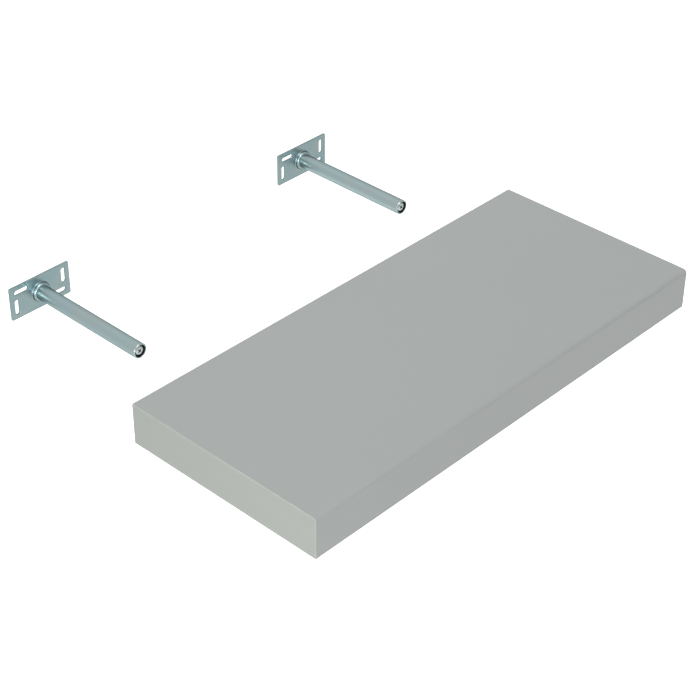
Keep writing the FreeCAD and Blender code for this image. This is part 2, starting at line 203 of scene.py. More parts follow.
def run_nodes(piece: Object, tree: NodeTree, sizes: dict[str, Any]) -> None:
    """Run a Geometry Nodes tree on a piece and keep what it makes as the piece's plain mesh.

    Args:
        piece: Object that takes the modifier, and loses it again.
        tree: The tree, which gets the piece's material.
        sizes: Value for each of the tree's other named inputs.
    """
    modifier = piece.modifiers.new(tree.name, "NODES")
    modifier.node_group = tree
    values = {**sizes, "Material": piece.data.materials[0]}
    for item in tree.interface.items_tree:
        if item.in_out == "INPUT" and item.name in values:
            modifier[item.identifier] = values[item.name]
    graph = bpy.context.evaluated_depsgraph_get()
    mesh = bpy.data.meshes.new_from_object(piece.evaluated_get(graph), depsgraph=graph)
    piece.modifiers.remove(modifier)
    if mesh.materials[0] is None:
        mesh.materials.pop(index=0)  # realized instances bring an empty slot along
    piece.data = mesh


# Finishes


@dataclass(frozen=True)
class Layer:
    """One layer of a finish's pattern, laid over a piece at its real size."""

    sizes: tuple[float, float, float]  # of features along X, Y and Z, or round and along the surface, mm
    detail: float = 0.0  # levels of finer features in them
    texture: Texture = Texture.CLOUDS
    follows: Follows = Follows.AXES
    contrast: Pair | None = None  # part of its range that is stretched to the whole

    def lay(self, tree: NodeTree) -> NodeSocket:
        """Lay it over the piece.

        Args:
            tree: The material's tree.

        Returns:
            Output that holds its amount, 0 to 1.
        """
        place = add_node(tree, "ShaderNodeTexCoord")[self.follows.value]
        scale = Vector([1 / (size * MM) for size in self.sizes])
        fitted = add_node(tree, "ShaderNodeMapping", {"Vector": place, "Scale": scale})[0]
        feeds = {"Vector": fitted, "Scale": 1.0, "Detail": self.detail}
        drawn = add_node(tree, self.texture.value, feeds)
        if self.texture is Texture.FLAKES:
            return add_node(tree, "ShaderNodeSeparateColor", {"Color": drawn["Color"]})[0]
        if self.contrast:
            limits = {"Value": drawn[0], "From Min": self.contrast[0], "From Max": self.contrast[1]}
            return add_node(tree, "ShaderNodeMapRange", limits)[0]
        return drawn[0]


@dataclass(frozen=True)
class Finish:
    """A material and how its surface was made."""

    title: str  # name of the material
    slot: str  # name of its material slot
    colour: str  # main colour, sRGB hex
    accent: str  # second colour of its pattern, sRGB hex
    roughness: float  # typical roughness
    spread: float  # how far the roughness varies to each side
    broad: Layer  # layer that blends the colours
    depth: float  # depth of the relief, mm
    strength: float  # share of the relief that shows
    fine: Layer | None = None  # layer that makes the relief, where the broad one doesn't
    share: float = 0.0  # share of the fine layer in the blend
    blended_relief: bool = False  # whether the blend of both layers makes the relief
    metallic: float = 0.0  # one for bare metal
    gloss: float = 0.5  # level of the gloss over its colour
    edge: str = WHITE  # tint of the gloss where the surface turns away, sRGB hex
    painted_light_colour: str = ""  # colour of painted light on marked points, sRGB hex, or nothing where they look like the rest

    def material(self) -> Material:
        """Make the material, or find it where another piece has it already.

        Returns:
            The material.
        """
        known = bpy.data.materials.get(self.title)
        if known:
            return known
        material = bpy.data.materials.new(self.title)
        material.use_nodes = True
        shader = material.node_tree.nodes["Principled BSDF"]
        shader.inputs["Metallic"].default_value = self.metallic
        shader.inputs["Specular IOR Level"].default_value = self.gloss
        shader.inputs["Specular Tint"].default_value = linear(self.edge)
        self.pattern(material.node_tree, shader)
        return material

    def pattern(self, tree: NodeTree, shader: Node) -> None:
        """Link colour, roughness and relief to the shader.

        Args:
            tree: The material's tree.
            shader: Its principled shader.
        """
        amount = self.broad.lay(tree)
        height = self.fine.lay(tree) if self.fine else amount
        if self.share:
            amount = add_node(tree, "ShaderNodeMix", {"Factor": self.share, "A": amount, "B": height})[0]
        if self.blended_relief:
            height = amount
        blend = {"Factor": amount, COLOUR_A: linear(self.colour), COLOUR_B: linear(self.accent)}
        tint = add_node(tree, "ShaderNodeMix", blend, data_type="RGBA")[MIXED_COLOUR]
        # marked points take painted light in their own colour, such as a painted highlight or painted shade
        if self.painted_light_colour:
            mark = add_node(tree, "ShaderNodeAttribute", attribute_name=PAINTED_LIGHT)["Fac"]
            blend = {"Factor": mark, COLOUR_A: tint, COLOUR_B: linear(self.painted_light_colour)}
            tint = add_node(tree, "ShaderNodeMix", blend, data_type="RGBA")[MIXED_COLOUR]
        smooth, rough = self.roughness - self.spread, self.roughness + self.spread
        limits = {"Value": amount, "To Min": smooth, "To Max": rough}
        polish = add_node(tree, "ShaderNodeMapRange", limits)[0]
        feeds = {"Height": height, "Distance": self.depth * MM, "Strength": self.strength}
        relief = add_node(tree, "ShaderNodeBump", feeds)[0]
        for socket, source in (("Base Color", tint), ("Roughness", polish), ("Normal", relief)):
            tree.links.new(source, shader.inputs[socket])


@dataclass(frozen=True)
class DecorFoil(Finish):
    """Paper decor foil, printed one colour and lacquered matt.

    It gives an even soft grey with faint clouds, and a fine lacquer pore that shows only close by.
    Real pores are finer; these are as coarse as they need to show.
    """

    broad: Layer = Layer((160.0, 160.0, 160.0), detail=3.0)
    fine: Layer = Layer((0.9, 0.9, 0.9), detail=2.0)
    depth: float = 0.03
    strength: float = 0.25


@dataclass(frozen=True)
class EdgeBand(Finish):
    """Extruded ABS edge band, ironed on and trimmed.

    It gives the foil's grey with fine lines along the band from the die, and a lighter colour painted on
    its round edge as a painted highlight. Real die lines are finer; these are as coarse as they need to
    show.
    """

    broad: Layer = Layer((0.8, 60.0, 0.8), detail=2.0)
    depth: float = 0.02
    strength: float = 0.2


@dataclass(frozen=True)
class ZincPlating(Finish):
    """Steel, bright zinc-plated and blue passivated.

    It gives a cool grey metal with soft greenish and bluish patches where the passivation is thicker or
    thinner, fine marks from how the steel was worked, and darker edges where the surface turns away.
    """

    broad: Layer = Layer((22.0, 22.0, 22.0), detail=3.0, contrast=(0.35, 0.65))
    fine: Layer = Layer((0.5, 0.5, 0.5), detail=2.0)
    share: float = 0.3
    depth: float = 0.002
    strength: float = 0.2
    metallic: float = 1.0
    edge: str = "#A0A8A8"


@dataclass(frozen=True)
class Chipboard(Finish):
    """Pressed softwood chips, sawn and drilled.

    It gives pale and darker flakes that lie flat, with fibres in them, rough all over.
    """

    broad: Layer = Layer((4.5, 4.5, 1.2), texture=Texture.FLAKES)
    fine: Layer = Layer((0.35, 0.35, 0.35), detail=3.0)
    share: float = 0.35
    blended_relief: bool = True
    depth: float = 0.25
    strength: float = 0.6


@dataclass(frozen=True)
class Fibreboard(Finish):
    """Dense fibreboard, hot-pressed and sawn.

    It gives an even brown with fine short fibres over darker bundles.
    """

    broad: Layer = Layer((4.0, 4.0, 4.0), detail=2.0)
    fine: Layer = Layer((0.3, 0.3, 0.3), detail=4.0)
    share: float = 0.5
    depth: float = 0.08
    strength: float = 0.4


@dataclass(frozen=True)
class KraftPaper(Finish):
    """Brown kraft paper, glued in strips and drawn out into cells.

    It gives a brown with flecks of lighter and darker pulp and a dry, rough surface.
    """

    broad: Layer = Layer((1.2, 1.2, 1.2), detail=5.0)
    depth: float = 0.05
    strength: float = 0.4


@dataclass(frozen=True)
class MouldedNylon(Finish):
    """Black nylon, injection moulded in a spark-eroded tool.

    It gives a near black with the tool's dull fine grain and little gloss.
    """

    broad: Layer = Layer((0.25, 0.25, 0.25), detail=2.0)
    depth: float = 0.02
    strength: float = 0.3


DECOR = DecorFoil("decor foil, lacquered matt", "decor_foil", "#AEB2B0", "#ACB0AE", 0.48, 0.04, gloss=0.3)
# the band's round edge gets a painted highlight in a lighter grey
BAND = EdgeBand("ABS edge band, extruded", "edge_band", "#ABB0AA", "#A7ACA6", 0.46, 0.05, painted_light_colour="#BFC3BD")
CHIPS = Chipboard("chipboard, sawn", "chipboard", "#D6BC90", "#A98A5E", 0.85, 0.08)
FIBRES = Fibreboard("fibreboard, sawn edge", "fibreboard", "#8A6844", "#6A4C2F", 0.8, 0.08)
PAPER = KraftPaper("kraft paper, drawn into cells", "honeycomb_paper", "#B08C5E", "#94713F", 0.88, 0.06)
NYLON = MouldedNylon("black nylon, moulded", "bush_plastic", "#0B0B0C", "#161617", 0.5, 0.06, gloss=0.15)
PLATE_ZINC = ZincPlating("zinc-plated steel, stamped", "zinc_plate", "#879694", "#7E9398", 0.36, 0.04)
# drawing leaves long marks along the tube
TUBE_ZINC = ZincPlating(
    "zinc-plated steel, drawn", "zinc_tube", "#9BA8A7", "#93A7AB", 0.36, 0.04,
    fine=Layer((0.5, 40.0, 0.5), detail=2.0, follows=Follows.SURFACE),
)
# rolling leaves marks round the screw; its recess is painted near black, a painted shade
SCREW_ZINC = ZincPlating(
    "zinc-plated steel, cold headed", "screw_zinc", "#B9C0C0", "#A9B1B2", 0.34, 0.05,
    fine=Layer((40.0, 0.5, 0.5), detail=2.0, follows=Follows.SURFACE), painted_light_colour="#1C2020",
)


# Shapes


def rounded_path(corners: Sequence[Corner], closed: bool = True) -> list[Vector]:
    """Walk round corners, with an extra point beside each rounding.

    Args:
        corners: The corners.
        closed: Whether the last corner joins the first one.

    Returns:
        The points of the path.
    """
    count = len(corners)
    spots = [Vector(corner[:2]) for corner in corners]
    legs = [(spots[place] - spots[place - 1]) for place in range(count)]
    turns, reaches = [], []
    for place, corner in enumerate(corners):
        before, after = legs[place], legs[(place + 1) % count]
        turns.append(math.atan2(before.x * after.y - before.y * after.x, before.dot(after)))
        reaches.append(corner[2] * math.tan(abs(turns[place]) / 2))
    path: list[Vector] = []
    for place, (here, turn, reach) in enumerate(zip(spots, turns, reaches)):
        radius = corners[place][2]
        if not radius:
            path.append(here)
            continue
        following = (place + 1) % count
        inward, outward = legs[place].normalized(), legs[following].normalized()
        start = here - inward * reach
        centre = start + Vector((-inward.y, inward.x)) * math.copysign(radius, turn)
        if legs[place].length - reach - reaches[place - 1] > STRIP_ROOM:
            path.append(start - inward * BESIDE)
        parts = max(FEWEST_STEPS, round(abs(turn) / ARC_STEP))
        for part in range(parts + 1):
            path.append(centre + Matrix.Rotation(turn * part / parts, 2) @ (start - centre))
        if legs[following].length - reach - reaches[following] > STRIP_ROOM:
            path.append(here + outward * (reach + BESIDE))
    apart = [point for before, point in zip(path[-1:] + path, path) if (point - before).length > SAME_POINT]
    return apart if closed else path


def offset_path(path: Sequence[Vector], distance: float) -> list[Vector]:
    """Move a closed anticlockwise path outwards.

    Args:
        path: Points of the path.
        distance: How far it moves, inwards if negative.

    Returns:
        The moved points.
    """
    moved = []
    for place, here in enumerate(path):
        before = (here - path[place - 1]).normalized()
        after = (path[(place + 1) % len(path)] - here).normalized()
        outward = Vector((before.y + after.y, -before.x - after.x))
        moved.append(here + outward * distance / (1 + before.dot(after)))
    return moved


def rounded_edge(radius: float, parts: int) -> list[Pair]:
    """Walk round an edge, from a piece's side to its face.

    Args:
        radius: Radius of the edge.
        parts: Number of steps.

    Returns:
        For each point, how far it lies behind the face and inside the side.
    """
    turns = [QUARTER * part / parts for part in range(parts + 1)]
    return [(radius * (1 - math.sin(turn)), radius * (1 - math.cos(turn))) for turn in turns]


class Shell:
    """A closed mesh made of rings of points."""

    def __init__(self) -> None:
        """Start with an empty mesh, its UV map and its marks for painted light."""
        self.mesh = bmesh.new()
        self.map = self.mesh.loops.layers.uv.new("surface")
        self.marks = self.mesh.verts.layers.float.new(PAINTED_LIGHT)

    def ring(self, points: Iterable[Vector]) -> Ring:
        """Add a ring of points."""
        return [self.mesh.verts.new(point) for point in points]

    def loft(self, rings: Sequence[Ring], closed: bool = False) -> None:
        """Join rings in turn, and lay the UV map around and along them in metres.

        Args:
            rings: Rings of one size.
            closed: Whether the last ring joins the first one.
        """
        chain = [*rings, rings[0]] if closed else list(rings)
        size = len(rings[0])
        girth = max(sum((ring[k].co - ring[k - 1].co).length for k in range(size)) for ring in chain)
        run = 0.0
        for near, far in zip(chain, chain[1:]):
            end = run + (near[0].co - far[0].co).length
            for place in range(size):
                after = place + 1
                corners = ((near, place, run), (near, after, run), (far, after, end), (far, place, end))
                spots = {ring[at % size]: (at / size * girth, along) for ring, at, along in corners}
                face = self.mesh.faces.new(spots)
                for loop in face.loops:
                    loop[self.map].uv = spots[loop.vert]
            run = end

    def mark(self, rings: Iterable[Ring]) -> None:
        """Mark rings of points that get painted light in their finish's colour for it.

        Args:
            rings: The rings.
        """
        for ring in rings:
            for vert in ring:
                vert[self.marks] = 1.0

    def cap(self, ring: Sequence[BMVert]) -> None:
        """Close a ring with one flat face."""
        self.mesh.faces.new(ring)

    def fill(self, *rings: Ring) -> None:
        """Fill the flat area between an outer ring and the rings of its holes.

        Args:
            rings: The rings.
        """
        pairs = [(ring[place - 1], ring[place]) for ring in rings for place in range(len(ring))]
        edges = [self.mesh.edges.get(pair) or self.mesh.edges.new(pair) for pair in pairs]
        bmesh.ops.triangle_fill(self.mesh, edges=edges, use_beauty=True)

    def piece(self, name: str, finish: Finish) -> Object:
        """Turn the shell into an object.

        Args:
            name: Name of the piece.
            finish: Its finish.

        Returns:
            The object.
        """
        piece = bpy.data.objects.new(name, bpy.data.meshes.new(name))
        bpy.context.scene.collection.objects.link(piece)
        piece.data.materials.append(finish.material())
        pour(self.mesh, piece)
        return piece


def pour(mesh: BMesh, piece: Object) -> None:
    """Put a mesh into a piece with its faces outward, smooth apart from its sharp edges.

    Args:
        mesh: The mesh, which is used up.
        piece: The piece that takes it.
    """
    bmesh.ops.recalc_face_normals(mesh, faces=mesh.faces)
    mesh.to_mesh(piece.data)
    mesh.free()
    piece.data.shade_smooth()
    piece.data.set_sharp_from_angle(angle=SHARP)


def fit(piece: Object, finish: Finish, body: str, node: str) -> None:
    """Let a piece ride on its body and stand for a CAD node.

    Args:
        piece: The finished piece.
        finish: Its finish, whose title is logged.
        body: Body that carries it.
        node: The CAD node.
    """
    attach(piece, body)
    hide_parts(node)
    log.info("%s: %d faces in %s", piece.name, len(piece.data.polygons), finish.title)


def dress_node(node: str, finish: Finish) -> None:
    """Give a CAD node a finish.

    Args:
        node: The node's name.
        finish: The finish that it gets.
    """
    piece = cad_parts[node]
    piece.data.materials.clear()
    piece.data.materials.append(finish.material())
    log.info("%s: CAD node in %s", node, finish.title)


# Board


@dataclass
class Board:
    """The board's outside: decor foil round its front, and a band on each end."""

    nose: float = 5 * MM  # radius of the upper front edge
    heel: float = 1 * MM  # radius of the lower front edge
    foil: float = 0.6 * MM  # thickness of the wrap
    rear_corner: float = 0.6 * MM  # radius of a band's rear corners
    band_edge: float = 0.6 * MM  # radius of a band's outer edge
    edge_parts: int = 6  # steps round a band's outer edge

    def build(self) -> None:
        """Build the wrap and both bands."""
        self.build_wrap()
        for side in Side:
            self.build_band(side)

    def outline(self, rear_corner: float) -> list[Vector]:
        """Section of the board, in Y and Z, from the top of its rear edge round the front.

        Args:
            rear_corner: Radius of its rear corners.

        Returns:
            The points, anticlockwise.
        """
        low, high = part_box("decor_wrap")
        corners = [
            (high.y, high.z, rear_corner),
            (low.y, high.z, self.nose),
            (low.y, low.z, self.heel),
            (high.y, low.z, rear_corner),
        ]
        return rounded_path(corners)

    def build_wrap(self) -> None:
        """Foil over the top, round the nose, and over the front and the underside."""
        node = "decor_wrap"
        low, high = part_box(node)
        outside = self.outline(rear_corner=0.0)
        inside = offset_path(outside, -self.foil)
        for end in (inside[0], inside[-1]):
            end.x = high.y
        section = outside + inside[::-1]
        shell = Shell()
        rings = [shell.ring(Vector((x, *point)) for point in section) for x in (low.x, high.x)]
        shell.loft(rings)
        for ring in rings:
            for place in range(len(outside) - 1):
                shell.cap([ring[place], ring[place + 1], ring[-place - 2], ring[-place - 1]])
        fit(shell.piece("foil_wrap", DECOR), DECOR, BOARD_BODY, node)

    def build_band(self, side: Side) -> None:
        """Band on one end, with its outer edge scraped round.

        Args:
            side: The end.
        """
        node = side.of("end_band")
        low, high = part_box(node)
        inner, outer = (high.x, low.x) if side is Side.LEFT else (low.x, high.x)
        levels = [(inner, 0.0)]
        for behind, inset in rounded_edge(self.band_edge, self.edge_parts):
            levels.append((outer - side.towards * behind, inset))
        levels.append((outer, self.band_edge + BESIDE))
        outline = self.outline(self.rear_corner)
        shell = Shell()
        rings = [shell.ring(Vector((x, *p)) for p in offset_path(outline, -inset)) for x, inset in levels]
        shell.loft(rings)
        shell.mark(rings[2:-2])  # the round edge, without its first and last step, painted lighter as a painted highlight
        shell.cap(rings[0])
        shell.cap(rings[-1])
        fit(shell.piece(side.of("edge_band"), BAND), BAND, BOARD_BODY, node)


@dataclass
class Filling:
    """The board's inside: skins, rails, guide blocks and paper honeycomb."""

    pitch: float = 12 * MM  # width of a paper cell across its flats
    paper: float = 0.4 * MM  # a cell's wall; real paper is thinner, this is as thick as it needs to show
    wobble: float = 0.04  # how far cells vary in size, as a share
    seed: int = 7  # seed of that variation

    def build(self) -> None:
        """Dress the CAD pieces and fill the bays."""
        for node in ("top_skin", "bottom_skin"):
            dress_node(node, FIBRES)
        for node in ("front_rail", "rear_rail"):
            dress_node(node, CHIPS)
        for side in Side:
            dress_node(side.of("end_rail"), CHIPS)
            dress_node(side.of("guide_block"), CHIPS)
        tree = self.honeycomb_tree()
        for bay in ("left", "middle", "right"):
            self.build_honeycomb(bay, tree)

    @staticmethod
    def honeycomb_tree() -> NodeTree:
        """Nodes that set paper cells side by side in rows.

        Returns:
            The tree.
        """
        inputs = {
            "NodeSocketFloat": ("Pitch", "Row Step", "Outer Radius", "Inner Radius", "Height", "Wobble"),
            "NodeSocketInt": ("Columns", "Rows", "Seed"),
            "NodeSocketVector": ("First Cell",),
        }
        tree, known = start_tree("paper_honeycomb", inputs)
        known["index"] = add_node(tree, "GeometryNodeInputIndex")[0]
        sums = (
            ("count", "MULTIPLY", "Columns", "Rows"),
            ("rows before", "DIVIDE", "index", "Columns"),
            ("row", "FLOOR", "rows before"),
            ("column", "MODULO", "index", "Columns"),
            ("odd row", "MODULO", "row", 2.0),
            ("shifted", "MULTIPLY_ADD", "odd row", 0.5, "column"),
            ("x", "MULTIPLY", "shifted", "Pitch"),
            ("y", "MULTIPLY", "row", "Row Step"),
            ("smallest", "SUBTRACT", 1.0, "Wobble"),
        )
        for name, operation, *terms in sums:
            feeds = {place: known.get(term, term) for place, term in enumerate(terms)}
            known[name] = add_node(tree, "ShaderNodeMath", feeds, operation=operation)[0]
        step = add_node(tree, "ShaderNodeCombineXYZ", {"X": known["x"], "Y": known["y"]})[0]
        feeds = {0: known["First Cell"], 1: step}
        place = add_node(tree, "ShaderNodeVectorMath", feeds, operation="ADD")[0]
        points = add_node(tree, "GeometryNodePoints", {"Count": known["count"], "Position": place})[0]
        walls = []
        for name in ("Outer Radius", "Inner Radius"):
            feeds = {"Resolution": HEX_SIDES, "Radius": known[name]}
            walls.append(add_node(tree, "GeometryNodeCurvePrimitiveCircle", feeds)[0])
        both = add_node(tree, "GeometryNodeJoinGeometry", {0: walls})[0]
        base = add_node(tree, "GeometryNodeFillCurve", {0: both}, mode="NGONS")[0]
        up = add_node(tree, "ShaderNodeCombineXYZ", {"Z": known["Height"]})[0]
        feeds = {"Mesh": base, "Offset": up, "Offset Scale": 1.0, "Individual": False}
        raised = add_node(tree, "GeometryNodeExtrudeMesh", feeds)[0]
        floor = add_node(tree, "GeometryNodeFlipFaces", {0: base})[0]
        loose = add_node(tree, "GeometryNodeJoinGeometry", {0: [raised, floor]})[0]
        feeds = {"Geometry": loose, "Distance": SAME_POINT}
        cell = add_node(tree, "GeometryNodeMergeByDistance", feeds)[0]
        least, most, drawn = 2, 3, 1  # places of the random node's sockets for numbers
        feeds = {least: known["smallest"], most: 1.0, "Seed": known["Seed"]}
        size = add_node(tree, "FunctionNodeRandomValue", feeds)[drawn]
        scale = add_node(tree, "ShaderNodeCombineXYZ", {"X": size, "Y": size, "Z": 1.0})[0]
        turn = (0.0, 0.0, math.pi / HEX_SIDES)
        feeds = {"Points": points, "Instance": cell, "Rotation": turn, "Scale": scale}
        cells = add_node(tree, "GeometryNodeInstanceOnPoints", feeds)[0]
        end_tree(tree, cells, known["Material"])
        return tree

    def build_honeycomb(self, bay: str, tree: NodeTree) -> None:
        """Fill one bay with whole cells.

        Args:
            bay: Name of the bay.
            tree: Nodes that make the cells.
        """
        node = f"{bay}_core"
        low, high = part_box(node)
        space = high - low
        reach = self.pitch / math.sqrt(3)
        row_step = 1.5 * reach
        columns = int((space.x - self.pitch / 2) / self.pitch)
        rows = int((space.y - 2 * reach) / row_step) + 1
        spare_x = space.x - (columns + 0.5) * self.pitch
        spare_y = space.y - (rows - 1) * row_step - 2 * reach
        sizes = {
            "Pitch": self.pitch,
            "Row Step": row_step,
            "Outer Radius": reach,
            "Inner Radius": reach - 2 * self.paper / math.sqrt(3),
            "Height": space.z,
            "Wobble": self.wobble,
            "Columns": columns,
            "Rows": rows,
            "Seed": self.seed,
            "First Cell": low + Vector(((self.pitch + spare_x) / 2, reach + spare_y / 2, 0.0)),
        }
        piece = Shell().piece(f"{bay}_honeycomb", PAPER)
        run_nodes(piece, tree, sizes)
        fit(piece, PAPER, BOARD_BODY, node)


# Supports


@dataclass(frozen=True)
class MachineThread:
    """Screw thread on the end of a shank."""

    title: str = "machine_thread"  # name of the nodes that make it
    length: float = 26 * MM  # length of the thread
    pitch: float = 1.0 * MM  # rise of one turn
    depth: float = 0.5 * MM  # depth of the groove
    crest: float = 0.25  # share of a turn that stays at full height
    run_in: float = 2.0  # turns over which the groove reaches its depth
    core: float = 0.2 * MM  # radius that the point is turned down to, less the groove
    around: int = 48  # points round a turn
    along: int = 8  # points along one turn

    def tree(self) -> NodeTree:
        """Nodes that roll a sheet of points up into a threaded shank and close its end.

        Returns:
            The tree, which the second screw shares with the first.
        """
        made = bpy.data.node_groups.get(self.title)
        if made:
            return made
        inputs = {
            "NodeSocketGeometry": ("Geometry",),
            "NodeSocketFloat": ("Radius", "Length", "Pitch", "Groove", "Crest", "Run In", "Point Radius"),
            "NodeSocketInt": ("Around", "Along"),
            "NodeSocketVector": ("Start",),
        }
        tree, known = start_tree(self.title, inputs)
        flat = add_node(tree, "GeometryNodeInputPosition")[0]
        spot = add_node(tree, "ShaderNodeSeparateXYZ", {0: flat})
        known |= {"across": spot["X"], "up": spot["Y"]}
        sums = (
            ("seam", "ADD", "Around", 1.0),
            ("lap", "ADD", "across", 0.5),
            ("share", "ADD", "up", 0.5),
            ("run", "MULTIPLY", "share", "Length"),
            ("laps", "DIVIDE", "run", "Pitch"),
            ("phase", "SUBTRACT", "laps", "lap"),
            ("tooth", "PINGPONG", "phase", 0.5),
            ("past crest", "SUBTRACT", "tooth", "Crest"),
            ("flank width", "SUBTRACT", 0.5, "Crest"),
            ("flank", "DIVIDE", "past crest", "flank width"),
            ("cut", "MAXIMUM", "flank", 0.0),
            ("begun", "DIVIDE", "laps", "Run In"),
            ("eased", "MINIMUM", "begun", 1.0),
            ("eased cut", "MULTIPLY", "cut", "eased"),
            ("groove", "MULTIPLY", "eased cut", "Groove"),
            ("ridge", "SUBTRACT", "Radius", "groove"),
            ("left", "SUBTRACT", "Length", "run"),
            ("point", "ADD", "Point Radius", "left"),
            ("radius", "MINIMUM", "ridge", "point"),
            ("angle", "MULTIPLY", "lap", math.tau),
            ("cosine", "COSINE", "angle"),
            ("sine", "SINE", "angle"),
            ("x", "MULTIPLY", "cosine", "radius"),
            ("z", "MULTIPLY", "sine", "radius"),
        )
        for name, operation, *terms in sums:
            feeds = {place: known.get(term, term) for place, term in enumerate(terms)}
            known[name] = add_node(tree, "ShaderNodeMath", feeds, operation=operation)[0]
        feeds = {"Size X": 1.0, "Size Y": 1.0, "Vertices X": known["seam"], "Vertices Y": known["Along"]}
        sheet = add_node(tree, "GeometryNodeMeshGrid", feeds)[0]
        feeds = {"X": known["x"], "Y": known["run"], "Z": known["z"]}
        rolled = add_node(tree, "ShaderNodeCombineXYZ", feeds)[0]
        shank = add_node(tree, "GeometryNodeSetPosition", {"Geometry": sheet, "Position": rolled})[0]
        feeds = {"Vertices": known["Around"], "Radius": known["Point Radius"]}
        disc = add_node(tree, "GeometryNodeMeshCircle", feeds, fill_type="NGON")[0]
        tail = add_node(tree, "ShaderNodeCombineXYZ", {"Y": known["Length"]})[0]
        feeds = {"Geometry": disc, "Translation": tail, "Rotation": (QUARTER, 0.0, 0.0)}
        end = add_node(tree, "GeometryNodeTransform", feeds)[0]
        both = add_node(tree, "GeometryNodeJoinGeometry", {0: [shank, end]})[0]
        feeds = {"Geometry": both, "Translation": known["Start"]}
        placed = add_node(tree, "GeometryNodeTransform", feeds)[0]
        loose = add_node(tree, "GeometryNodeJoinGeometry", {0: [known["Geometry"], placed]})[0]
        feeds = {"Geometry": loose, "Distance": SAME_POINT}
        welded = add_node(tree, "GeometryNodeMergeByDistance", feeds)[0]
        end_tree(tree, welded, known["Material"])
        return tree

    def roll(self, piece: Object, start: Vector, radius: float) -> None:
        """Roll the thread on the open end of a screw's shank.

        Args:
            piece: The screw, open where its thread starts.
            start: Middle of that open end.
            radius: Radius of the shank.
        """
        sizes = {
            "Radius": radius,
            "Length": self.length,
            "Pitch": self.pitch,
            "Groove": self.depth,
            "Crest": self.crest,
            "Run In": self.run_in,
            "Point Radius": radius - self.depth - self.core,
            "Around": self.around,
            "Along": round(self.length / self.pitch * self.along) + 1,
            "Start": start,
        }
        run_nodes(piece, self.tree(), sizes)
        whole = bmesh.new()
        whole.from_mesh(piece.data)
        pour(whole, piece)


